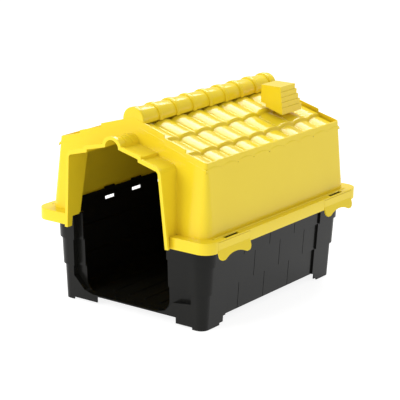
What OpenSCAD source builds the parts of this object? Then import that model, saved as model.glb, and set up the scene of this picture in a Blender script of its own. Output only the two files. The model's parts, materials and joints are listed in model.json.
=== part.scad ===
// Two-part moulded plastic pet kennel: a tub with brick relief and a lift-off hood.
// X is the width, Y the length (the doorway faces -Y), Z is up. The ground is z = 0.

/* [Hood] */
// Width over the hood walls, measured at the ledge
hood_w = 411; // [400:1:426]
// Length over the hood walls, measured at the ledge
hood_l = 541; // [500:1:640]
// Height of the ledge's top face above the ground
ledge_z = 206; // [190:1:250]
// Height of the side walls from the ledge to the eave
eave_h = 156.5; // [130:0.5:170]
// Inward lean of the hood walls per millimetre of height
hood_draft = 0.095; // [0.03:0.005:0.11]
// Wall thickness of both mouldings
wall = 3; // [2.5:0.1:3.4]
// Radius of the hood's upright corners at the ledge
hood_corner = 22; // [19:1:28]

/* [Roof tiles] */
// Rise of a tile row per millimetre across it
row_slope = 0.284; // [0.2:0.001:0.36]
// Height of the step where one tile row overlaps the next
row_step = 6.5; // [3:0.5:9]
// Width across one tile row, in plan
row_w = 56; // [46:1:62]
// Length of one tile along the ridge
tile_pitch = 58.3; // [44:0.1:80]
// Height of a tile's barrel above its valleys
tile_rise = 6; // [3:0.5:8]
// Radius of the raised ring at a ridge cap's front end
cap_r = 26.5; // [25:0.5:29]
// How much a ridge cap narrows from its front end to its rear end
cap_taper = 1.5; // [0.5:0.5:3]

/* [Brim] */
// Width of the ledge beside the side walls
ledge_side = 22; // [20:1:32]
// Width of the ledge in front of and behind the end walls
ledge_end = 25; // [22:1:29]
// Height of the skirt that hangs from the ledge
skirt_h = 25; // [20:1:34]
// Outer radius of the brim's corners
brim_corner = 30; // [24:1:40]

/* [Porch] */
// Width inside the porch at its foot
porch_w = 256; // [220:1:290]
// How far the porch foot stands in front of the hood's end wall
porch_depth = 36.5; // [34:0.5:60]
// Forward lean of the porch front per millimetre of height
porch_lean = 0.064; // [0:0.004:0.1]
// Inward lean of the porch jambs per millimetre of height
jamb_draft = 0.08; // [0.04:0.005:0.1]
// Height of the porch eave above the skirt's lower edge
porch_eave_h = 158; // [140:1:170]
// Inner radius of the arch at the porch ridge
arch_r = 17; // [12:0.5:22]

/* [Tub] */
// Width over the corner posts at the ground
tub_w = 372; // [358:1:384]
// Length over the corner posts at the ground
tub_l = 500; // [450:1:514]
// Outward lean of the tub per millimetre of height
tub_draft = 0.055; // [0.02:0.005:0.07]
// Outward step of the relief from one brick course to the next
course_step = 4; // [2.5:0.1:5]
// Height of the floor's underside above the ground
floor_clear = 18; // [12:1:26]
// How far the brick walls stand back from the corner posts
post_proud = 4; // [2:0.5:5]
// Radius of the corner posts at the ground
post_r = 18; // [16:1:28]
// Length of one brick
brick_l = 97; // [60:1:120]
// Width of the doorway in the tub
door_w = 222; // [180:2:226]
// How far the doorway's middle stands to the left of the tub's middle
door_off = 20; // [0:1:24]
// Radius of the doorway's lower corners
door_r = 26; // [15:1:34]
// How far the panels beside the doorway stand back from the posts
panel_back = 14; // [8:0.5:20]

/* [Latches] */
// Width of a latch tab
latch_w = 114; // [90:1:118]
// Distance from the middle of the kennel to the middle of a latch
latch_y = 204; // [190:1:206]
// How far the latch lobes hang below the skirt
lobe_h = 16; // [10:1:22]
// How far the lower edge of a lobe flares outward
lobe_flare = 6; // [3:0.5:9]
// Depth of the finger arch between the two lobes
arch_h = 9; // [5:0.5:12]
// Angle that a latch tab swings outward to let go
latch_swing = 8; // [4:1:9]
// Running gap around a latch tab
latch_gap = 0.4; // [0.3:0.1:1]

/* [Hidden] */
$fn = 64;
eps = 0.01;
far = 2000;
yellow = [0.95, 0.85, 0.22];
black = [0.16, 0.16, 0.15];

// Hood, from the ledge up
cone_x = hood_w / 2 - hood_corner;
cone_y = hood_l / 2 - hood_corner;
eave_z = ledge_z + eave_h;
eave_x = hood_w / 2 - hood_draft * eave_h;
cabin_top = eave_z + eave_x * row_slope + 2 * row_step + wall;

// Roof profile: three rows a side, each stepping up over the one below
cap_in = cap_r + 2.5;
row_x = [eave_x, cap_in + 2 * row_w, cap_in + row_w, cap_in];
function row_z(i) = i == 0 ? eave_z : row_z(i - 1) + (row_x[i - 1] - row_x[i]) * row_slope + row_step;
row_top_x = [row_x[1], row_x[2], 0];
function row_end_z(i) = row_z(i) + (row_x[i] - row_top_x[i]) * row_slope;
apex_z = row_end_z(2);
sheet_drop = wall + 0.2;
roof_top_line = [
    for (i = [0:2]) each [[row_x[i], row_z(i)], [row_top_x[i], row_end_z(i)]]
];
roof_low_line = [
    for (i = [5:-1:0]) [max(roof_top_line[i][0] - (i == 0 ? 0 : wall), 0),
                        roof_top_line[i][1] - sheet_drop]
];
cap_z = row_end_z(2) - row_slope * cap_r - 1;
cap_len = 59.5;
tile_lead = 5;
valley_up = 0.4;
verge_w = 5;
verge_up = 2;
cap_step = 2;
cap_ring = 12;

// Brim
brim_x = hood_w / 2 + ledge_side;
brim_y = hood_l / 2 + ledge_end;
skirt_z = ledge_z - skirt_h;
ledge_low = ledge_z - wall;

// Porch
porch_foot_y = hood_l / 2 + porch_depth;
porch_in = porch_w / 2;
porch_eave_z = skirt_z + porch_eave_h;
porch_eave_x = porch_in - jamb_draft * porch_eave_h;
porch_bend = 10;
porch_row = (porch_eave_x - arch_r) / 2;
porch_slope = 0.27;
porch_step = 6;
porch_row_z = porch_eave_z + porch_bend * 0.55;
porch_arch_z = porch_row_z + (2 * porch_row - porch_bend) * porch_slope + porch_step;

porch_lip = 4.5;
porch_lip_l = 6;
porch_tip_y = porch_foot_y + porch_lean * (porch_arch_z + arch_r + wall + porch_lip - skirt_z);
mid_y = (porch_tip_y - brim_y) / 2;

// Tub
tub_x = tub_w / 2 - post_r;
tub_y = tub_l / 2 - post_r;
rim_z = ledge_low - wall;
courses = 3;
course_h = (rim_z - floor_clear) / courses;
lip_h = 6;
merlon_h = 4;
lip_gap = 2;
lip_x = hood_w / 2 - wall - lip_gap;
lip_y = hood_l / 2 - wall - lip_gap;
lip_r = hood_corner - wall;
rim_gap = 3.2;
rim_x = brim_x - wall - rim_gap;
rim_y = brim_y - wall - rim_gap;
floor_top = floor_clear + wall;
vent_h = 8;
vent_z = 183.5;
vent_w = 34;
vents = [for (k = [-1:1]) k * brick_l + 19];
joint_shift = -26;
joint_w = 1.6;
joint_deep = 1.2;
post_side = 78;
return_w = 8;
post_end = [30, 35, 41];
pad_h = 5;
pad_end = 28;
pad_side = 58;
toe_end = [70, 92];
toe_side = 70;
plinth_z = 49;
pip_d = 5;

// Chimney
chimney_x = [72, 122];
chimney_y = [117, 176];
chimney_course = 11.5;
chimney_rows = 5;

// Latches
slot_w = 9;
slot_l = 50;
slot_wall = 4.7;
hook_h = 4.5;
hook_gap = 0.5;
hook_clear = 0.3;
lobe_r = 11;
latch_top = ledge_low - latch_gap;
hinge_x = brim_x - wall / 2;

// Outline of one brick course, measured from the corner axis: the outer face going up, then
// the inner face coming down, with a shelf that reaches in to the course below
function face_at(i, z) = post_r + i * course_step + tub_draft * z;
function course_z(i) = floor_clear + i * course_h;
function course_line(i, back, deep, cut) =
    let (z0 = course_z(i), z1 = course_z(i + 1) - cut, z2 = z0 + wall)
    concat(
        [[face_at(i, z0) - back, z0], [face_at(i, z1) - back, z1],
         [face_at(i, z1) - back - deep, z1]],
        i == 0 ? [[face_at(0, z0) - back - deep, z0]] :
        [[face_at(i, z2) - back - deep, z2], [face_at(i - 1, z2) - back - deep, z2],
         [face_at(i - 1, z0) - back - deep, z0]]
    );
// Outline of a plain skin between two heights
function skin_line(i, back, deep, z0, z1) = [
    [face_at(i, z0) - back, z0], [face_at(i, z1) - back, z1],
    [face_at(i, z1) - back - deep, z1], [face_at(i, z0) - back - deep, z0]
];
function mirror_if(flip) = flip ? 1 : 0;
// Distance from the tub's middle to the doorway's left or right edge
function door_half(flip) = door_w / 2 + (flip ? door_off : -door_off);

// Moves a piece so that the whole kennel is centred over the origin
module placed() {
    translate([0, mid_y, 0]) children();
}

// Mirror copy for the left-hand or the rear-facing twin of a piece
module flip_x(flip) {
    mirror([mirror_if(flip), 0, 0]) children();
}

module flip_y(flip) {
    mirror([0, mirror_if(flip), 0]) children();
}

// Block with leaning sides and conical corners that share upright axes.
// half sizes and radius are taken at z = 0 and grow by lean per millimetre. The long sides and
// the corners end at cone_z, the end walls go on up to z1.
module leaning_block(ax, ay, r, lean, z0, z1, cone_z) {
    r0 = r + lean * z0;
    r1 = r + lean * z1;
    rc = r + lean * cone_z;
    union() {
        translate([0, ay, 0]) rotate([90, 0, 0]) linear_extrude(2 * ay)
            polygon([[-ax - r0, z0], [ax + r0, z0], [ax + rc, cone_z], [-ax - rc, cone_z]]);
        translate([-ax, 0, 0]) rotate([90, 0, 90]) linear_extrude(2 * ax)
            polygon([[-ay - r0, z0], [ay + r0, z0], [ay + r1, z1], [-ay - r1, z1]]);
        for (sx = [-1, 1], sy = [-1, 1])
            translate([sx * ax, sy * ay, z0]) cylinder(h = cone_z - z0, r1 = r0, r2 = rc);
    }
}

module tub_block(out, z0, z1) {
    leaning_block(tub_x, tub_y, post_r + out, tub_draft, z0, z1, z1);
}

module hood_block(out, z0, z1) {
    leaning_block(cone_x, cone_y, hood_corner + out + hood_draft * ledge_z, -hood_draft, z0, z1, eave_z + 4);
}

// Box from one corner to the other
module span(low, high) {
    translate(low) cube(high - low);
}

// Plan outline with round corners
module round_plan(hx, hy, r) {
    square([2 * hx, 2 * (hy - r)], center = true);
    square([2 * (hx - r), 2 * hy], center = true);
    for (sx = [-1, 1], sy = [-1, 1])
        translate([sx * (hx - r), sy * (hy - r)]) circle(r);
}

// Both halves of a line that is the same left and right, from right to left
function both_sides(half) = concat(half, [
    for (i = [len(half) - 1:-1:0]) if (half[i][0] > 0) [-half[i][0], half[i][1]]
]);

// Everything under the roof sheets
module below_roof() {
    line = [for (i = [5:-1:0]) roof_low_line[i]];
    side = concat([[far, 0], [far, line[0][1]]], line);
    translate([0, far / 2, 0]) rotate([90, 0, 0]) linear_extrude(far)
        polygon(both_sides(side));
}

// ---- tub ----

// Runs of one outline along a long wall, along an end wall and round the corner between them
module side_run(line, y0, y1) {
    translate([tub_x, y1, 0]) rotate([90, 0, 0]) linear_extrude(y1 - y0) polygon(line);
}

module end_run(line, x0, x1) {
    translate([x0, tub_y, 0]) rotate([90, 0, 90]) linear_extrude(x1 - x0) polygon(line);
}

module corner_run(line) {
    translate([tub_x, tub_y, 0]) rotate_extrude(angle = 90) polygon(line);
}

// Upright joint line, cut into the face of course i
function joint_line(i) = skin_line(i, post_proud - 1, 1 + joint_deep, course_z(i) + 1, course_z(i + 1) - 1);

module floor_pan() {
    x0 = door_r - door_half(true);
    x1 = door_half(false) - door_r;
    placed() color(black) {
        difference() {
            tub_block(-post_proud - wall, floor_clear, floor_top);
            mirror([0, 1, 0]) difference() {
                end_run(skin_line(0, 0, panel_back + wall, floor_clear - 1, floor_top + 1), -far, far);
                end_run(skin_line(0, -1, far, floor_clear - 2, floor_top + 2), x0, x1);
            }
        }
        mirror([0, 1, 0])
            end_run(skin_line(0, 0, panel_back + wall, floor_clear, floor_top), x0, x1);
        for (s = [-1, 1]) for (k = [0:2])
            translate([s * (12 + 23 * k), -tub_l / 2 + 18, floor_top])
                cylinder(h = 1.2, d = pip_d, $fn = 24);
        for (k = [-3:3])
            span([k * 42 - 1.5, -tub_l / 2 + 45, floor_top], [k * 42 + 1.5, tub_l / 2 - 45, floor_top + 1.5]);
    }
}

// Long wall of three brick courses, with upright joints staggered from course to course
module long_wall(flip) {
    edge = tub_l / 2 - post_side;
    placed() flip_x(flip) color(black) difference() {
        for (i = [0:courses - 1])
            side_run(course_line(i, post_proud, wall, 0), -edge, edge);
        for (y = vents)
            span([tub_x, y - vent_w / 2, vent_z], [far, y + vent_w / 2, vent_z + vent_h]);
        for (i = [0:courses - 1]) for (k = [-2:2])
            let (y = (k + (i % 2 == 0 ? 0 : 0.5)) * brick_l + joint_shift)
                if (abs(y) < edge - joint_w)
                    side_run(joint_line(i), y - joint_w / 2, y + joint_w / 2);
    }
}

module wall_rear() {
    placed() color(black) difference() {
        for (i = [0:courses - 1])
            end_run(course_line(i, post_proud, wall, 0), post_end[i] - tub_w / 2, tub_w / 2 - post_end[i]);
        for (i = [0:courses - 1]) for (k = [-2:1])
            let (x = (k + (i % 2 == 0 ? 0.5 : 0)) * brick_l)
                if (abs(x) < tub_x - 20)
                    end_run(joint_line(i), x - joint_w / 2, x + joint_w / 2);
    }
}

// Corner post: a quoin for each course with a return at both edges, over a stepped foot
module corner_post(flip, rear) {
    depth = rear ? post_proud + wall : panel_back + wall;
    y0 = tub_l / 2 - post_side;
    toe = skin_line(0, 0, wall, pad_h, floor_clear);
    pad = skin_line(0, 0, wall, 0, pad_h);
    placed() flip_x(flip) flip_y(!rear) color(black) {
        for (i = [0:courses - 1]) {
            line = course_line(i, 0, wall, 0);
            x0 = tub_w / 2 - post_end[i];
            corner_run(line);
            side_run(line, y0 + return_w, tub_y);
            side_run(course_line(i, 0, post_proud + wall, 0), y0, y0 + return_w);
            end_run(line, x0 + return_w, tub_x);
            end_run(course_line(i, 0, depth, 0), x0, x0 + return_w);
        }
        corner_run(toe);
        side_run(toe, tub_l / 2 - toe_side, tub_y);
        end_run(toe, tub_w / 2 - toe_end[rear ? 0 : mirror_if(flip)], tub_x);
        corner_run(pad);
        side_run(pad, tub_l / 2 - pad_side, tub_y);
        end_run(pad, tub_w / 2 - pad_end, tub_x);
    }
}

// Panel beside the doorway, with the plinth in front of its lower edge
module front_panel(flip) {
    half = door_half(flip);
    x0 = half - door_r;
    x1 = tub_w / 2 - post_end[0];
    top = [[x0, floor_top], [half - 3, floor_top + 6], [half + 18, plinth_z],
           [x1, plinth_z + 6]];
    low = [for (k = [3:-1:0]) [top[k][0], top[k][1] - wall]];
    placed() flip_x(flip) mirror([0, 1, 0]) color(black) {
        difference() {
            for (i = [0:courses - 1])
                end_run(course_line(i, panel_back, wall, 0), i == 0 ? x0 : half,
                        tub_w / 2 - post_end[i]);
            translate([x0, far, floor_top + door_r]) rotate([90, 0, 0]) cylinder(h = far, r = door_r);
            span([x0 - 1, 0, floor_top + door_r], [half, far, course_z(2)]);
        }
        intersection() {
            end_run(skin_line(0, 0, panel_back + wall / 2, floor_clear, plinth_z + 8), x0, x1);
            translate([0, far, 0]) rotate([90, 0, 0]) linear_extrude(far) polygon(concat(top, low));
        }
        intersection() {
            end_run(skin_line(0, 0, wall, floor_clear, plinth_z + 8), x0, x1);
            translate([0, far, 0]) rotate([90, 0, 0]) linear_extrude(far)
                polygon(concat(top, [[x1, floor_clear], [x0, floor_clear]]));
        }
    }
}

// Upright ring that stands just inside the hood walls
module lip_ring(z0, z1) {
    translate([0, 0, z0]) linear_extrude(z1 - z0) difference() {
        round_plan(lip_x, lip_y, lip_r);
        round_plan(lip_x - wall, lip_y - wall, lip_r - wall);
    }
}

// Rim plate that carries the hood, with the lip that stands up inside it
module rim_ring() {
    top = post_r + (courses - 1) * course_step - post_proud - wall + tub_draft * rim_z;
    translate([0, 0, rim_z]) linear_extrude(wall) difference() {
        round_plan(rim_x, rim_y, brim_corner - wall - rim_gap);
        round_plan(min(lip_x - wall, tub_x + top), min(lip_y - wall, tub_y + top), lip_r - wall);
    }
    lip_ring(ledge_low, ledge_low + lip_h);
}

module rim_side(flip) {
    placed() flip_x(flip) color(black) {
        intersection() {
            rim_ring();
            span([tub_x, -tub_y, 0], [far, tub_y, far]);
        }
        intersection() {
            lip_ring(ledge_low + lip_h, ledge_low + lip_h + merlon_h);
            for (y = vents)
                span([tub_x, y - vent_w / 2, 0], [far, y + vent_w / 2, far]);
        }
    }
}

module rim_rear() {
    placed() color(black) intersection() {
        rim_ring();
        span([-far, tub_y, 0], [far, far, far]);
    }
}

module rim_front(flip) {
    placed() flip_x(flip) color(black) {
        intersection() {
            rim_ring();
            span([porch_in + wall + 6, -far, 0], [far, -tub_y, far]);
        }
        mirror([0, 1, 0])
            end_run(skin_line(courses - 1, post_proud, panel_back, rim_z, ledge_low),
                    door_half(flip), tub_w / 2 - post_end[2]);
    }
}

// ---- hood ----

module hood_shell() {
    intersection() {
        difference() {
            hood_block(0, ledge_z, cabin_top);
            hood_block(-wall, ledge_z - eps, cabin_top + eps);
        }
        below_roof();
    }
}

module hood_wall_side(flip) {
    placed() flip_x(flip) color(yellow) intersection() {
        hood_shell();
        span([cone_x, -far, 0], [far, far, far]);
    }
}

// Inside outline of the porch, in front view, grown outward by the wall for its outside
module porch_outline(grow) {
    x0 = porch_in + grow;
    x1 = porch_eave_x + grow;
    z1 = porch_eave_z;
    x2 = arch_r + porch_row + grow;
    polygon(both_sides([
        [x0, skirt_z - 1], [x1, z1],
        [x1 - porch_bend * 0.4, z1 + porch_bend * 0.4 + grow * 0.6],
        [x1 - porch_bend, porch_row_z + grow],
        [x2, porch_row_z + (porch_row - porch_bend) * porch_slope + grow],
        [x2, porch_row_z + (porch_row - porch_bend) * porch_slope + porch_step + grow],
        [arch_r * 0.8, porch_arch_z + grow]
    ]));
    translate([0, porch_arch_z]) circle(arch_r + grow);
}

// Everything between the hood's end wall and the leaning front of the porch
module porch_zone() {
    rise = cabin_top - skirt_z;
    rotate([90, 0, 90]) linear_extrude(far, center = true)
        polygon([
            [-porch_foot_y, skirt_z], [-hood_l / 2 - ledge_end + wall, skirt_z],
            [-hood_l / 2 - ledge_end + wall, ledge_low], [-hood_l / 2, ledge_low],
            [-hood_l / 2, ledge_z],
            [-hood_l / 2 + hood_draft * (cabin_top - ledge_z), cabin_top],
            [-porch_foot_y - porch_lean * rise, cabin_top]
        ]);
}

module hood_wall_front() {
    placed() color(yellow) difference() {
        intersection() {
            hood_shell();
            span([-cone_x, -far, 0], [cone_x, 0, far]);
        }
        rotate([90, 0, 0]) linear_extrude(far) porch_outline(0);
    }
}

module hood_wall_rear() {
    placed() color(yellow) intersection() {
        hood_shell();
        span([-cone_x, 0, 0], [cone_x, far, far]);
    }
}

module porch_shell() {
    rise = cabin_top - skirt_z;
    intersection() {
        rotate([90, 0, 0]) linear_extrude(far) difference() {
            porch_outline(wall);
            porch_outline(0);
        }
        porch_zone();
    }
    // thicker lip round the front edge
    intersection() {
        rotate([90, 0, 0]) linear_extrude(far) difference() {
            porch_outline(wall + porch_lip);
            porch_outline(0);
        }
        rotate([90, 0, 90]) linear_extrude(far, center = true)
            polygon([
                [-porch_foot_y, skirt_z], [-porch_foot_y + porch_lip_l, skirt_z],
                [-porch_foot_y + porch_lip_l - porch_lean * rise, cabin_top],
                [-porch_foot_y - porch_lean * rise, cabin_top]
            ]);
    }
}

module porch_jamb(flip) {
    placed() flip_x(flip) color(yellow) intersection() {
        porch_shell();
        span([0, -far, 0], [far, 0, porch_eave_z]);
    }
}

module porch_roof() {
    ribs = 3;
    y_wall = -hood_l / 2 + hood_draft * (porch_arch_z - ledge_z);
    placed() color(yellow) {
        intersection() {
            porch_shell();
            span([-far, -far, porch_eave_z], [far, 0, far]);
        }
        for (k = [0:ribs - 1])
            intersection() {
                translate([0, y_wall - 16 - 19 * k, porch_arch_z]) rotate([90, 0, 0])
                    difference() {
                        cylinder(h = 4, r = arch_r + wall + 1.5);
                        translate([0, 0, -1]) cylinder(h = 6, r = arch_r + wall - 0.5);
                    }
                span([-far, -far, porch_arch_z + wall + 4], [far, 0, far]);
            }
    }
}

// One tile row of the left-hand slope: barrels side by side, running up the row
module tile_row(i) {
    x_end = i == 2 ? row_x[3] : row_x[i + 1];
    run = row_x[i] - x_end;
    tilt = atan(row_slope);
    y0 = -hood_l / 2 + hood_draft * eave_h;
    chord = tile_pitch / 2;
    r = (chord * chord + tile_rise * tile_rise) / (2 * tile_rise);
    n = ceil((tile_lead - 2 * y0) / tile_pitch);
    translate([-row_x[i], 0, row_z(i)]) rotate([0, -tilt, 0]) rotate([90, 0, 90])
        linear_extrude(run / cos(tilt)) intersection() {
            union()
                for (k = [0:n - 1])
                    translate([y0 - tile_lead + tile_pitch * (k + 0.5), valley_up + tile_rise - r])
                        circle(r);
            translate([y0 - 5, -1]) square([10 - 2 * y0, tile_rise + 2]);
        }
}

// Everything between the leaning planes of the two end walls, less a margin
module gable_trim(margin) {
    low = hood_l / 2 - margin;
    top = low - hood_draft * (far / 4);
    rotate([90, 0, 90]) linear_extrude(far, center = true)
        polygon([[-low, ledge_z], [low, ledge_z], [top, ledge_z + far / 4], [-top, ledge_z + far / 4]]);
}

module roof_slope(flip, with_chimney) {
    placed() flip_x(flip) color(yellow) {
        intersection() {
            translate([0, far / 2, 0]) rotate([90, 0, 0]) linear_extrude(far)
                mirror([1, 0]) polygon(concat(roof_top_line, roof_low_line));
            gable_trim(0);
        }
        difference() {
            intersection() {
                for (i = [0:2]) tile_row(i);
                gable_trim(verge_w);
            }
            if (with_chimney) mirror([1, 0, 0]) chimney_foot();
        }
        difference() {
            intersection() {
                translate([0, far / 2, 0]) rotate([90, 0, 0]) linear_extrude(far)
                    mirror([1, 0]) verge_outline();
                gable_trim(0);
            }
            gable_trim(verge_w);
        }
    }
}

// Flat band along the gable edge, following the steps of the rows
module verge_outline() {
    line = [
        for (i = [0:5]) i < 5 ? roof_top_line[i] : [cap_in, roof_top_line[5][1] - row_slope * cap_in]
    ];
    polygon(concat(
        [for (p = line) [p[0], p[1] + verge_up]],
        [for (i = [5:-1:0]) [line[i][0], line[i][1] - 2]]
    ));
}

// Ridge caps, each with a raised ring that laps over the narrow end in front of it
module ridge_caps() {
    y0 = -hood_l / 2 + hood_draft * (apex_z - ledge_z);
    n = ceil(-2 * y0 / cap_len);
    placed() color(yellow) difference() {
        intersection() {
            for (k = [0:n - 1])
                translate([0, y0 + k * cap_len, cap_z]) rotate([-90, 0, 0]) {
                    cylinder(h = cap_ring, r = cap_r);
                    cylinder(h = cap_len + 1, r1 = cap_r - cap_step, r2 = cap_r - cap_step - cap_taper);
                }
            translate([-far / 2, y0, 0]) cube([far, -2 * y0, far]);
        }
        translate([0, far / 2, 0]) rotate([90, 0, 0]) linear_extrude(far)
            polygon([[-far, apex_z - far * row_slope], [0, apex_z], [far, apex_z - far * row_slope]]);
    }
}

// Chimney, in rows of brick that step outward going down
module chimney_foot() {
    span([chimney_x[0], chimney_y[0], ledge_z],
         [chimney_x[1] + 1.5 * (chimney_rows - 1), chimney_y[1] + 5 * (chimney_rows - 1), cabin_top]);
}

module chimney() {
    top = apex_z + 18;
    placed() color(yellow) difference() {
        for (i = [0:chimney_rows - 1])
            span([chimney_x[0], chimney_y[0], eave_z],
                 [chimney_x[1] + 1.5 * i, chimney_y[1] + 5 * i, top - i * chimney_course]);
        span([chimney_x[0] + wall, chimney_y[0] + wall, ledge_z],
             [chimney_x[1] - wall, chimney_y[1] - wall, top - wall]);
        rotate([90, 0, 0]) linear_extrude(far, center = true)
            polygon(concat(roof_top_line, [[0, 0], [eave_x, 0]]));
    }
}

// ---- brim ----

module ledge_ring() {
    difference() {
        translate([0, 0, ledge_low]) linear_extrude(wall)
            round_plan(brim_x, brim_y, brim_corner);
        translate([0, 0, ledge_low - 1]) linear_extrude(wall + 2)
            round_plan(hood_w / 2 - wall, hood_l / 2 - wall, hood_corner - wall);
    }
}

module skirt_ring() {
    translate([0, 0, skirt_z]) linear_extrude(ledge_low - skirt_z) difference() {
        round_plan(brim_x, brim_y, brim_corner);
        round_plan(brim_x - wall, brim_y - wall, brim_corner - wall);
    }
}

module ledge_side_piece(flip) {
    x1 = brim_x - slot_wall;
    placed() flip_x(flip) color(yellow) difference() {
        intersection() {
            ledge_ring();
            span([cone_x, -cone_y, 0], [far, cone_y, far]);
        }
        for (s = [-1, 1])
            span([x1 - slot_w, s * latch_y - slot_l / 2, 0], [x1, s * latch_y + slot_l / 2, far]);
    }
}

module ledge_rear() {
    placed() color(yellow) intersection() {
        ledge_ring();
        span([-far, cone_y, 0], [far, far, far]);
    }
}

module ledge_front(flip) {
    placed() flip_x(flip) color(yellow) difference() {
        intersection() {
            ledge_ring();
            span([0, -far, 0], [far, -cone_y, far]);
        }
        rotate([90, 0, 0]) linear_extrude(far) porch_outline(wall);
    }
}

module skirt_side(flip) {
    y1 = latch_y - latch_w / 2 - latch_gap;
    placed() flip_x(flip) color(yellow) intersection() {
        skirt_ring();
        span([cone_x, -y1, 0], [far, y1, far]);
    }
}

module skirt_rear() {
    placed() color(yellow) intersection() {
        skirt_ring();
        span([-far, latch_y + latch_w / 2 + latch_gap, 0], [far, far, far]);
    }
}

module skirt_front(flip) {
    placed() flip_x(flip) color(yellow) difference() {
        intersection() {
            skirt_ring();
            span([0, -far, 0], [far, -latch_y - latch_w / 2 - latch_gap, far]);
        }
        rotate([90, 0, 0]) linear_extrude(far) porch_outline(wall);
    }
}

// Latch tab: two finger lobes with an arch between them, flared outward, and a hook inside
module latch(flip, rear) {
    half = latch_w / 2;
    low = skirt_z - lobe_h;
    reach = half - 19;
    arch_big = (reach * reach + arch_h * arch_h) / (2 * arch_h);
    hook_top = rim_z - hook_gap;
    placed() flip_x(flip) flip_y(!rear) translate([0, latch_y, 0]) color(yellow) {
        intersection() {
            translate([0, half, 0]) rotate([90, 0, 0]) linear_extrude(latch_w)
                polygon([
                    [brim_x - wall, latch_top], [brim_x, latch_top], [brim_x, skirt_z + 6],
                    [brim_x + lobe_flare, low], [brim_x + lobe_flare - wall, low],
                    [brim_x - wall, skirt_z + 6]
                ]);
            rotate([90, 0, 90]) linear_extrude(far) difference() {
                union() {
                    translate([-half, low + lobe_r]) square([latch_w, latch_top - low]);
                    for (s = [-1, 1])
                        translate([s * (half - lobe_r), low + lobe_r]) circle(lobe_r);
                    translate([-half + lobe_r, low]) square([latch_w - 2 * lobe_r, lobe_r + 1]);
                }
                translate([0, low + arch_h - arch_big]) circle(arch_big);
            }
        }
        translate([0, slot_l / 2, 0]) rotate([90, 0, 0]) linear_extrude(slot_l)
            polygon([
                [brim_x - wall, hook_top], [rim_x + hook_clear, hook_top],
                [rim_x + hook_clear, hook_top - 1], [brim_x - wall, hook_top - hook_h]
            ]);
    }
}

floor_pan();
long_wall(true);  // wall_left
long_wall(false);  // wall_right
wall_rear();
front_panel(true);  // front_panel_left
front_panel(false);  // front_panel_right
corner_post(true, false);  // post_front_left
corner_post(false, false);  // post_front_right
corner_post(true, true);  // post_rear_left
corner_post(false, true);  // post_rear_right
rim_side(true);  // rim_left
rim_side(false);  // rim_right
rim_rear();
rim_front(true);  // rim_front_left
rim_front(false);  // rim_front_right
hood_wall_side(true);  // hood_wall_left
hood_wall_side(false);  // hood_wall_right
hood_wall_front();
hood_wall_rear();
roof_slope(false, false);  // roof_left
roof_slope(true, true);  // roof_right
ridge_caps();
chimney();
porch_jamb(true);  // porch_jamb_left
porch_jamb(false);  // porch_jamb_right
porch_roof();
ledge_side_piece(true);  // ledge_left
ledge_side_piece(false);  // ledge_right
ledge_rear();
ledge_front(true);  // ledge_front_left
ledge_front(false);  // ledge_front_right
skirt_side(true);  // skirt_left
skirt_side(false);  // skirt_right
skirt_rear();
skirt_front(true);  // skirt_front_left
skirt_front(false);  // skirt_front_right
latch(true, false);  // latch_front_left
latch(false, false);  // latch_front_right
latch(true, true);  // latch_rear_left
latch(false, true);  // latch_rear_right
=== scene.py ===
import json
import math

import bpy
from mathutils import Matrix, Vector


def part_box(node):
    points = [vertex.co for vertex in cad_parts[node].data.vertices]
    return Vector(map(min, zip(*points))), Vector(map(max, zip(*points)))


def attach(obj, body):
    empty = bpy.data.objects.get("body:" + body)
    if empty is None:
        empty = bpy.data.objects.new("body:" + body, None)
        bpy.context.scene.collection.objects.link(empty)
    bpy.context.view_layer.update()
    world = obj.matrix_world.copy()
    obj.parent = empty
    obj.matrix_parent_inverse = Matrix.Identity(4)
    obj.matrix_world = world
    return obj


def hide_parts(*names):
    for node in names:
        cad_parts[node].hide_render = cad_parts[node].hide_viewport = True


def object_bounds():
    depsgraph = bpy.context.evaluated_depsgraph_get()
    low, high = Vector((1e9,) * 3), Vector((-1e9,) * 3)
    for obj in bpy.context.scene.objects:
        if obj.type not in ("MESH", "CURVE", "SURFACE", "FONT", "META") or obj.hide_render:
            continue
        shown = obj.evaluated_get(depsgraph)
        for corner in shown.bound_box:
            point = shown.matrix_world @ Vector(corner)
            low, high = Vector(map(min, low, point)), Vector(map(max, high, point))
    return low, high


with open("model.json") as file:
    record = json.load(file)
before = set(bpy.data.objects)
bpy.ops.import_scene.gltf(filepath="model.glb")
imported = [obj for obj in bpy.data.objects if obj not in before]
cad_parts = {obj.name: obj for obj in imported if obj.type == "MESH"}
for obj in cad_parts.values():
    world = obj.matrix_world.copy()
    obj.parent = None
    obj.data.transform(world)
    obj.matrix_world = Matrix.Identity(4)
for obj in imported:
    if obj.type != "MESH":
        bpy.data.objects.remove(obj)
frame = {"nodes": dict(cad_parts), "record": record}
cad_lo, cad_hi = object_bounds()
centre = (cad_lo + cad_hi) / 2


# ---------------------------------------------------------------- materials
def new_material(name):
    mat = bpy.data.materials.new(name)
    mat.use_nodes = True
    tree = mat.node_tree
    return mat, tree, tree.nodes["Principled BSDF"]


def add(tree, kind, **values):
    """New shader node, each value set on its input of that name or else on the node itself."""
    node = tree.nodes.new(kind)
    for key, value in values.items():
        if key in node.inputs:
            node.inputs[key].default_value = value
        else:
            setattr(node, key, value)
    return node


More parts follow.
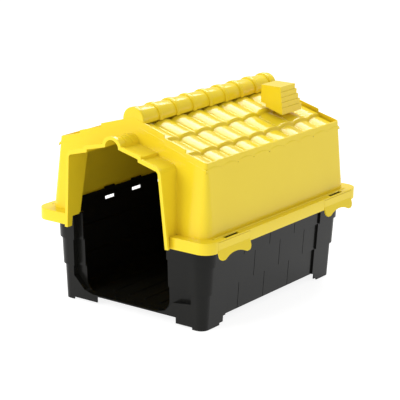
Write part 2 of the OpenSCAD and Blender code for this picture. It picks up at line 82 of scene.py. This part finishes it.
def moulded_plastic(name, base, light, rough, dust, spec):
    """Satin moulded plastic: faint colour flow, specks, rubbed patches and a fine grain."""
    mat, tree, bsdf = new_material(name)
    link = tree.links.new
    coord = add(tree, "ShaderNodeTexCoord").outputs["Object"]

    # broad flow variation of the pigment
    flow = add(tree, "ShaderNodeTexNoise", Scale=7.0, Detail=3.0, Roughness=0.5)
    link(coord, flow.inputs["Vector"])
    ramp = add(tree, "ShaderNodeValToRGB")
    ramp.color_ramp.elements[0].position = 0.3
    ramp.color_ramp.elements[0].color = (*base, 1)
    ramp.color_ramp.elements[1].position = 0.72
    ramp.color_ramp.elements[1].color = (*light, 1)
    link(flow.outputs["Fac"], ramp.inputs["Fac"])

    # fine pale specks
    speck = add(tree, "ShaderNodeTexNoise", Scale=900.0, Detail=2.0)
    link(coord, speck.inputs["Vector"])
    mix = add(tree, "ShaderNodeMix", data_type="RGBA", blend_type="MIX")
    mix.inputs["B"].default_value = (*dust, 1)
    amount = add(tree, "ShaderNodeMapRange")
    amount.inputs["From Min"].default_value = 0.70
    amount.inputs["From Max"].default_value = 0.85
    amount.inputs["To Max"].default_value = 0.15
    link(speck.outputs["Fac"], amount.inputs["Value"])
    link(ramp.outputs["Color"], mix.inputs["A"])
    link(amount.outputs["Result"], mix.inputs["Factor"])
    link(mix.outputs["Result"], bsdf.inputs["Base Color"])

    # roughness: rubbed patches and the mould's fine grain
    rub = add(tree, "ShaderNodeTexNoise", Scale=22.0, Detail=4.0, Roughness=0.6)
    link(coord, rub.inputs["Vector"])
    span = add(tree, "ShaderNodeMapRange")
    span.inputs["From Min"].default_value = 0.3
    span.inputs["From Max"].default_value = 0.7
    span.inputs["To Min"].default_value = rough - 0.02
    span.inputs["To Max"].default_value = rough + 0.04
    link(rub.outputs["Fac"], span.inputs["Value"])
    link(span.outputs["Result"], bsdf.inputs["Roughness"])
    bsdf.inputs["Specular IOR Level"].default_value = spec

    grain = add(tree, "ShaderNodeTexNoise", Scale=650.0, Detail=3.0, Roughness=0.6)
    link(coord, grain.inputs["Vector"])
    wave = add(tree, "ShaderNodeTexNoise", Scale=30.0, Detail=1.0)
    link(coord, wave.inputs["Vector"])
    grain_bump = add(tree, "ShaderNodeBump", Strength=0.05, Distance=0.0003)
    link(grain.outputs["Fac"], grain_bump.inputs["Height"])
    wave_bump = add(tree, "ShaderNodeBump", Strength=0.06, Distance=0.001)
    link(wave.outputs["Fac"], wave_bump.inputs["Height"])
    link(grain_bump.outputs["Normal"], wave_bump.inputs["Normal"])
    link(wave_bump.outputs["Normal"], bsdf.inputs["Normal"])
    return mat


YELLOW = moulded_plastic("yellow_plastic", base=(0.845, 0.635, 0.022), light=(0.865, 0.66, 0.025),
                         rough=0.15, dust=(0.78, 0.58, 0.03), spec=0.30)
BLACK = moulded_plastic("black_plastic", base=(0.0065, 0.0065, 0.0055), light=(0.0085, 0.0085, 0.0075),
                        rough=0.22, dust=(0.022, 0.021, 0.018), spec=0.17)

tub = set(frame["record"]["behaviour"]["bodies"]["tub"])
for name, obj in frame["nodes"].items():
    obj.data.materials.clear()
    obj.data.materials.append(BLACK if name in tub else YELLOW)

# ---------------------------------------------------------------- sizes read from the CAD
MM = 0.001
hood_lo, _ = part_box("hood_wall_left")
_, rear_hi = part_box("hood_wall_rear")
roof_lo, roof_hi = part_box("roof_left")
ledge_lo, ledge_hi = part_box("ledge_left")
_, back_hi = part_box("ledge_rear")
cap_lo, cap_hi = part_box("ridge_caps")
_, jamb_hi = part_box("porch_jamb_right")
MID_Y = (roof_lo[1] + roof_hi[1]) / 2
WALL = 3 * MM
BRIM_X = -ledge_lo[0]
BRIM_Y = back_hi[1] - MID_Y
LEDGE_Z = ledge_hi[2]
HOOD_X = -hood_lo[0]
HOOD_Y = rear_hi[1] - MID_Y
DRAFT = 0.095          # lean of the hood walls, per height
CORNER = 22 * MM       # radius of the hood's corners at the ledge


# ---------------------------------------------------------------- mesh helpers
def mesh_object(name, verts, faces, material, body, *nodes, smooth=True):
    mesh = bpy.data.meshes.new(name)
    mesh.from_pydata([tuple(v) for v in verts], [], faces)
    mesh.validate()
    mesh.update()
    obj = bpy.data.objects.new(name, mesh)
    bpy.context.scene.collection.objects.link(obj)
    mesh.materials.append(material)
    for p in mesh.polygons:
        p.use_smooth = smooth
    if smooth:
        mesh.set_sharp_from_angle(angle=math.radians(50))
    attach(obj, body)
    if nodes:
        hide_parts(*nodes)
    return obj


def grid_faces(rows, cols, flip=False):
    faces = []
    for r in range(rows - 1):
        for c in range(cols - 1):
            q = (r * cols + c, r * cols + c + 1, (r + 1) * cols + c + 1, (r + 1) * cols + c)
            faces.append(q[::-1] if flip else q)
    return faces


def round_rect(hx, hy, r, steps=12):
    """Outline of a round-cornered rectangle about (0, MID_Y), anticlockwise."""
    points = []
    for sx, sy, start in ((1, -1, -90), (1, 1, 0), (-1, 1, 90), (-1, -1, 180)):
        for k in range(steps + 1):
            a = math.radians(start + 90 * k / steps)
            points.append((sx * (hx - r) + r * math.cos(a),
                           MID_Y + sy * (hy - r) + r * math.sin(a)))
    return points


def rounded_plate(name, outlines, z0, z1, edge, material, body, *nodes):
    """Flat piece between two heights, with rounded edges; outlines inside the first are holes."""
    curve = bpy.data.curves.new(name, "CURVE")
    curve.dimensions = "2D"
    curve.fill_mode = "BOTH"
    curve.extrude = (z1 - z0) / 2 - edge
    curve.bevel_depth = edge
    curve.bevel_resolution = 3
    curve.offset = -edge
    for outline in outlines:
        line = curve.splines.new("POLY")
        line.points.add(len(outline) - 1)
        for p, (x, y) in zip(line.points, outline):
            p.co = (x, y, 0, 1)
        line.use_cyclic_u = True
    shape = bpy.data.objects.new(name + "_curve", curve)
    bpy.context.scene.collection.objects.link(shape)
    bpy.context.view_layer.update()
    depsgraph = bpy.context.evaluated_depsgraph_get()
    mesh = bpy.data.meshes.new_from_object(shape.evaluated_get(depsgraph))
    verts = [(v.co.x, v.co.y, v.co.z + (z0 + z1) / 2) for v in mesh.vertices]
    faces = [tuple(p.vertices) for p in mesh.polygons]
    bpy.data.objects.remove(shape)
    bpy.data.curves.remove(curve)
    bpy.data.meshes.remove(mesh)
    return mesh_object(name, verts, faces, material, body, *nodes)


def soften(node, width, segments=2, angle=35):
    """Rounds the sharp edges of a CAD node with modifiers."""
    obj = frame["nodes"][node]
    bevel = obj.modifiers.new("edge", "BEVEL")
    bevel.width = width
    bevel.segments = segments
    bevel.limit_method = "ANGLE"
    bevel.angle_limit = math.radians(angle)
    bevel.use_clamp_overlap = True
    bevel.harden_normals = True


# ---------------------------------------------------------------- tiled roof slopes
SLOPE = 0.284          # fall of the roof, per run
STEP = 6.5 * MM        # drop from one tile row to the next
RISE = 6 * MM          # height of a barrel over its valley
PITCH = 58.3 * MM      # from one valley to the next
ROW = 56 * MM          # run of one tile row
TOP_ROW_X = 29 * MM    # where the tiles end under the ridge caps' edge
EAVE_X = -roof_lo[0]
ROW_X = (EAVE_X, TOP_ROW_X + 2 * ROW, TOP_ROW_X + ROW, TOP_ROW_X)
EAVE_Z = LEDGE_Z + (HOOD_X - EAVE_X) / DRAFT
ROW_Z = [EAVE_Z]
for lower, upper in zip(ROW_X[:2], ROW_X[1:3]):
    ROW_Z.append(ROW_Z[-1] + (lower - upper) * SLOPE + STEP)
FIRST = MID_Y - HOOD_Y + DRAFT * (EAVE_Z - LEDGE_Z) - 5 * MM


def gable(z):
    """Half length of the hood at a height."""
    return HOOD_Y - DRAFT * (z - LEDGE_Z)


def barrel(y):
    """Height of the tiles over the sheet: round barrels between narrow valleys."""
    t = abs(((y - FIRST) / PITCH) % 1 - 0.5) * 2
    return 0.4 * MM + RISE * (1 - t ** 2.3)


def roof_slope(name, side, node):
    """One slope as a sheet: three rows of barrel tiles with a rounded nose and a verge at each end."""
    half = gable(EAVE_Z)
    count = 9 * 12
    columns = {MID_Y - half + 2 * half * k / count for k in range(count + 1)}
    for k in range(1, 10):
        valley = FIRST + PITCH * k
        if abs(valley - MID_Y) < half - 8 * MM:
            columns |= {valley - 0.8 * MM, valley, valley + 0.8 * MM}
    columns = sorted(columns)
    lines = []          # (x, z, share of the barrel's height)
    fillet = 1.6 * MM
    for i in range(3):
        top = 20 * MM if i == 2 else ROW_X[i + 1]
        x0, z0 = ROW_X[i], ROW_Z[i]
        under = i - 1
        # foot of the step on the row below, the rounded nose, then the slope itself
        if under >= 0:
            fall = ROW_X[under] - x0
            lines.append((x0 + 0.9 * MM, ROW_Z[under] + (ROW_X[under] - x0 - 0.9 * MM) * SLOPE, 1.0))
            lines.append((x0 + 0.15 * MM, ROW_Z[under] + fall * SLOPE + 0.7 * MM, 1.0))
        else:
            lines.append((x0, z0 - 3.0 * MM, 0.0))
            lines.append((x0, z0 - 0.2 * MM, 0.0))
        lines.append((x0, z0 - fillet, 1.0))
        lines.append((x0 - 0.35 * fillet, z0 - 0.35 * fillet, 1.0))
        lines.append((x0 - fillet, z0 + fillet * SLOPE, 1.0))
        for t in (0.08, 0.3, 0.6, 0.9, 0.97, 1.0):
            x = x0 - fillet + (top - x0 + fillet) * t
            if t == 1.0 and i < 2:
                x = top + 1.8 * MM
            if t == 0.97 and i < 2:
                continue
            lines.append((x, z0 + (x0 - x) * SLOPE, 1.0))
    verts = []
    for x, z, amount in lines:
        end = gable(z)
        south_end = MID_Y - end
        # the verge's outer face and flat top, as (y, height over the sheet)
        verge = [(south_end, -2.5 * MM), (south_end, 1.2 * MM),
                 (south_end + 0.8 * MM, 2 * MM), (south_end + 4.4 * MM, 2 * MM)]
        section = verge + [(min(max(y, MID_Y - end + 5.2 * MM), MID_Y + end - 5.2 * MM), None)
                           for y in columns]
        section += [(2 * MID_Y - y, h) for y, h in reversed(verge)]
        for y, h in section:
            rise = barrel(y) if h is None else h
            verts.append((side * x, y, z + rise * amount))
    cols = len(columns) + 8
    obj = mesh_object(name, verts, grid_faces(len(lines), cols, flip=side < 0), YELLOW, "hood", node)
    shell = obj.modifiers.new("sheet", "SOLIDIFY")
    shell.thickness = 2.4 * MM
    shell.offset = -1
    return obj


roof_slope("tiles_left", -1, "roof_left")
roof_slope("tiles_right", 1, "roof_right")

# ---------------------------------------------------------------- ridge caps
CAP_L = 59.5 * MM
CAP_Z = cap_hi[2] - 26.5 * MM     # axis of the caps
# one cap from its front edge back: (distance, radius) in mm, a raised band and then a slight taper
CAP_PROFILE = ((0.0, 25.3), (0.5, 26.1), (1.5, 26.5), (10.6, 26.5), (11.6, 26.1), (12.0, 25.2),
               (12.3, 24.5), (30.0, 24.0), (59.0, 23.1), (59.5, 23.0))
CAP_ANGLE = 108                   # degrees from the top down to a cap's edge


def ridge():
    y0, y1 = cap_lo[1], cap_hi[1]
    count = math.ceil((y1 - y0) / CAP_L)
    profile = [(y0, 22.5 * MM), (y0, 25.3 * MM)]
    for k in range(count):
        a = y0 + k * CAP_L
        for dy, r in CAP_PROFILE:
            y = a + dy * MM
            if y < y1:
                profile.append((y, r * MM))
    profile.append((y1, profile[-1][1]))
    profile.append((y1, profile[-1][1] - 3 * MM))
    turns = 28
    verts = []
    for y, r in profile:
        for k in range(turns + 1):
            a = math.radians(-CAP_ANGLE + 2 * CAP_ANGLE * k / turns)
            verts.append((r * math.sin(a), y, CAP_Z + r * math.cos(a)))
    faces = grid_faces(len(profile), turns + 1)
    # closing faces at the two ends
    faces.append(tuple(reversed(range(turns + 1))))
    faces.append(tuple((len(profile) - 1) * (turns + 1) + k for k in range(turns + 1)))
    return mesh_object("ridge_tiles", verts, faces, YELLOW, "hood", "ridge_caps")


ridge()

# ---------------------------------------------------------------- brim
LATCHES = {n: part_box(n) for n in frame["nodes"] if n.startswith("latch_")}
porch_half = jamb_hi[0] - 4.4 * MM
outer = round_rect(BRIM_X, BRIM_Y, 30 * MM, 14)
inner = round_rect(HOOD_X - 2 * MM, HOOD_Y - 2 * MM, CORNER - 2 * MM, 10)
south = MID_Y - BRIM_Y
north_in = MID_Y - HOOD_Y + 2 * MM


def broken(points, half, south_y):
    """The outline without the run in front of the porch, starting right of it and ending left of it."""
    return [(half, south_y)] + points + [(-half, south_y)]


ledge_outline = broken(outer, porch_half, south) + broken(inner, porch_half, north_in)[::-1]
holes = []
for n, (lo, hi) in LATCHES.items():
    side = 1 if lo[0] > 0 else -1
    y = (lo[1] + hi[1]) / 2
    x1 = BRIM_X - 4.7 * MM
    x0 = x1 - 9 * MM
    hole = [(side * x0, y - 25 * MM), (side * x0, y + 25 * MM),
            (side * x1, y + 25 * MM), (side * x1, y - 25 * MM)]
    holes.append(hole if side > 0 else hole[::-1])
rounded_plate("brim_ledge", [ledge_outline] + holes, LEDGE_Z - WALL, LEDGE_Z, 1.2 * MM, YELLOW, "hood",
              "ledge_left", "ledge_right", "ledge_rear", "ledge_front_left", "ledge_front_right")


def bead(name, path, side):
    """Low raised rib along the ledge."""
    verts = []
    rows = ((-2.2, -0.6), (-1.8, 0.7), (-1.0, 1.3), (1.0, 1.3), (1.8, 0.7), (2.2, -0.6))
    for x, y in path:
        for off, up_by in rows:
            verts.append((x + side * off * MM, y, LEDGE_Z + up_by * MM))
    return mesh_object(name, verts, grid_faces(len(path), len(rows), flip=side > 0), YELLOW, "hood")


for side, label in ((1, "right"), (-1, "left")):
    x = side * (BRIM_X - 16.5 * MM)
    steps = [MID_Y - HOOD_Y + 14 * MM + (2 * HOOD_Y - 28 * MM) * k / 24 for k in range(25)]
    bead("ledge_rib_" + label, [(x, y) for y in steps], side)

SKIRT_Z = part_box("skirt_rear")[0][2]


def strip(path):
    """Closed outline of a wall-thick strip along a path, on the path's left."""
    inside = []
    for k, (x, y) in enumerate(path):
        ax, ay = path[max(k - 1, 0)]
        bx, by = path[min(k + 1, len(path) - 1)]
        length = math.hypot(bx - ax, by - ay)
        nx, ny = -(by - ay) / length, (bx - ax) / length
        inside.append((x + nx * WALL, y + ny * WALL))
    return path + inside[::-1]


SKIRT_X = BRIM_X - 0.1 * MM
face = round_rect(SKIRT_X, BRIM_Y - 0.1 * MM, 29.9 * MM, 14)
quarter = len(face) // 4
gap = 0.4 * MM
y_front = LATCHES["latch_front_right"][0][1] - gap
y_side0 = LATCHES["latch_front_right"][1][1] + gap
y_side1 = LATCHES["latch_rear_right"][0][1] - gap
y_rear = LATCHES["latch_rear_right"][1][1] + gap
right_front = [(porch_half, south + 0.1 * MM)] + face[:quarter] + [(SKIRT_X, y_front)]
rear_path = [(SKIRT_X, y_rear)] + face[quarter:3 * quarter] + [(-SKIRT_X, y_rear)]
left_front = [(-x, y) for x, y in reversed(right_front)]
TOP = LEDGE_Z - WALL + 1.1 * MM
rounded_plate("brim_skirt_front_right", [strip(right_front)], SKIRT_Z, TOP, 0.9 * MM, YELLOW, "hood",
              "skirt_front_right")
rounded_plate("brim_skirt_front_left", [strip(left_front)], SKIRT_Z, TOP, 0.9 * MM, YELLOW, "hood",
              "skirt_front_left")
rounded_plate("brim_skirt_rear", [strip(rear_path)], SKIRT_Z, TOP, 0.9 * MM, YELLOW, "hood",
              "skirt_rear")
for side, label in ((1, "right"), (-1, "left")):
    path = [(side * SKIRT_X, y_side0), (side * SKIRT_X, y_side1)]
    rounded_plate("brim_skirt_" + label, [strip(path if side > 0 else path[::-1])], SKIRT_Z, TOP,
                  0.9 * MM, YELLOW, "hood", "skirt_" + label)

# ---------------------------------------------------------------- rounded edges of the CAD pieces
for n in LATCHES:
    soften(n, 0.8 * MM, 3)
soften("chimney", 0.9 * MM, 3)
for n in tub:
    if not n.startswith("rim"):
        soften(n, 0.7 * MM, 2, 50)
soften("porch_roof", 0.9 * MM, 3, 40)

# ---------------------------------------------------------------- stage, light, camera
bpy.ops.mesh.primitive_plane_add(size=44, location=(0, 0, cad_lo.z))
floor = bpy.context.object
floor.name = "studio_floor"
mat, _, bsdf = new_material("studio_floor")
bsdf.inputs["Base Color"].default_value = (0.3, 0.3, 0.3, 1)
bsdf.inputs["Roughness"].default_value = 0.7
bsdf.inputs["Emission Color"].default_value = (1, 1, 1, 1)
bsdf.inputs["Emission Strength"].default_value = 0.86
floor.data.materials.append(mat)

world = bpy.data.worlds.new("studio")
bpy.context.scene.world = world
world.use_nodes = True
world.node_tree.nodes["Background"].inputs["Color"].default_value = (1, 1, 1, 1)
world.node_tree.nodes["Background"].inputs["Strength"].default_value = 0.60


def softbox(name, where, aim, size, power):
    data = bpy.data.lights.new(name, "AREA")
    data.shape = "RECTANGLE"
    data.size, data.size_y = size
    data.energy = power
    obj = bpy.data.objects.new(name, data)
    bpy.context.scene.collection.objects.link(obj)
    obj.location = where
    obj.rotation_mode = "QUATERNION"
    obj.rotation_quaternion = (Vector(aim) - Vector(where)).to_track_quat("-Z", "Y")


softbox("above_behind", centre + Vector((-0.26, 0.55, 0.79)) * 2.5, centre, (1.65, 1.4), 50)
softbox("front_left", centre + Vector((-0.35, -0.9, 0.45)) * 2.6, centre, (1.4, 1.4), 34)
softbox("fill_right", centre + Vector((0.95, -0.2, 0.35)) * 2.6, centre, (1.4, 1.2), 3)

AZIMUTH, ELEVATION, ROLL = math.radians(35.42), math.radians(15.54), math.radians(0.98)
DISTANCE = 3.5146
aim = Vector((0, centre.y + 0.0052, 0.19802))
back = Vector((math.sin(AZIMUTH) * math.cos(ELEVATION),
               -math.cos(AZIMUTH) * math.cos(ELEVATION), math.sin(ELEVATION)))
right = (-back).cross(Vector((0, 0, 1))).normalized()
up = right.cross(-back)
x_axis = right * math.cos(ROLL) + up * math.sin(ROLL)
y_axis = up * math.cos(ROLL) - right * math.sin(ROLL)
camera_data = bpy.data.cameras.new("camera")
camera_data.lens = 143.42
camera_data.sensor_width = 36
camera_data.clip_end = 60
camera = bpy.data.objects.new("camera", camera_data)
bpy.context.scene.collection.objects.link(camera)
spot = aim + back * DISTANCE
camera.matrix_world = Matrix((
    (x_axis.x, y_axis.x, back.x, spot.x),
    (x_axis.y, y_axis.y, back.y, spot.y),
    (x_axis.z, y_axis.z, back.z, spot.z),
    (0, 0, 0, 1),
))
bpy.context.scene.camera = camera
bpy.context.scene.view_settings.view_transform = "Standard"
